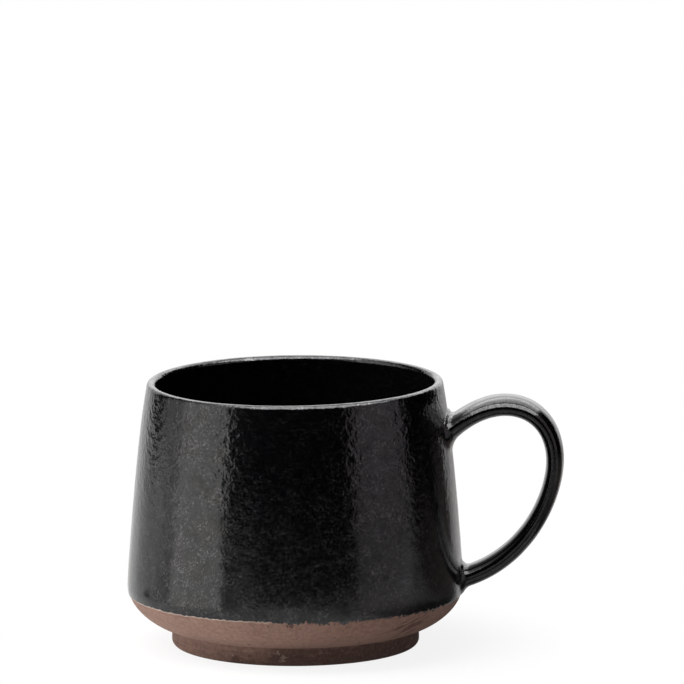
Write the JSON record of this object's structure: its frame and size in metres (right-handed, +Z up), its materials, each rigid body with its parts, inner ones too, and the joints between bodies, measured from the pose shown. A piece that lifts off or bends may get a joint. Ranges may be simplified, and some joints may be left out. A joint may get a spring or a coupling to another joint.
{
  "type": "mug",
  "caption": "Round-bellied stoneware mug with a curved strap handle, a glazed body and a bare clay foot, for hot drinks.",
  "frame": {"origin": "centre of the foot ring, on the surface that the mug stands on, on the axis of the turned body", "axes": "+Z up along the body's axis, +X from the axis towards the handle"},
  "size_m": [0.1325, 0.102, 0.0814],
  "materials": {
    "stoneware": "satin black glaze over bare reddish-brown clay at the foot"
  },
  "bodies": {
    "root": {"mug": "stoneware"}
  },
  "joints": []
}
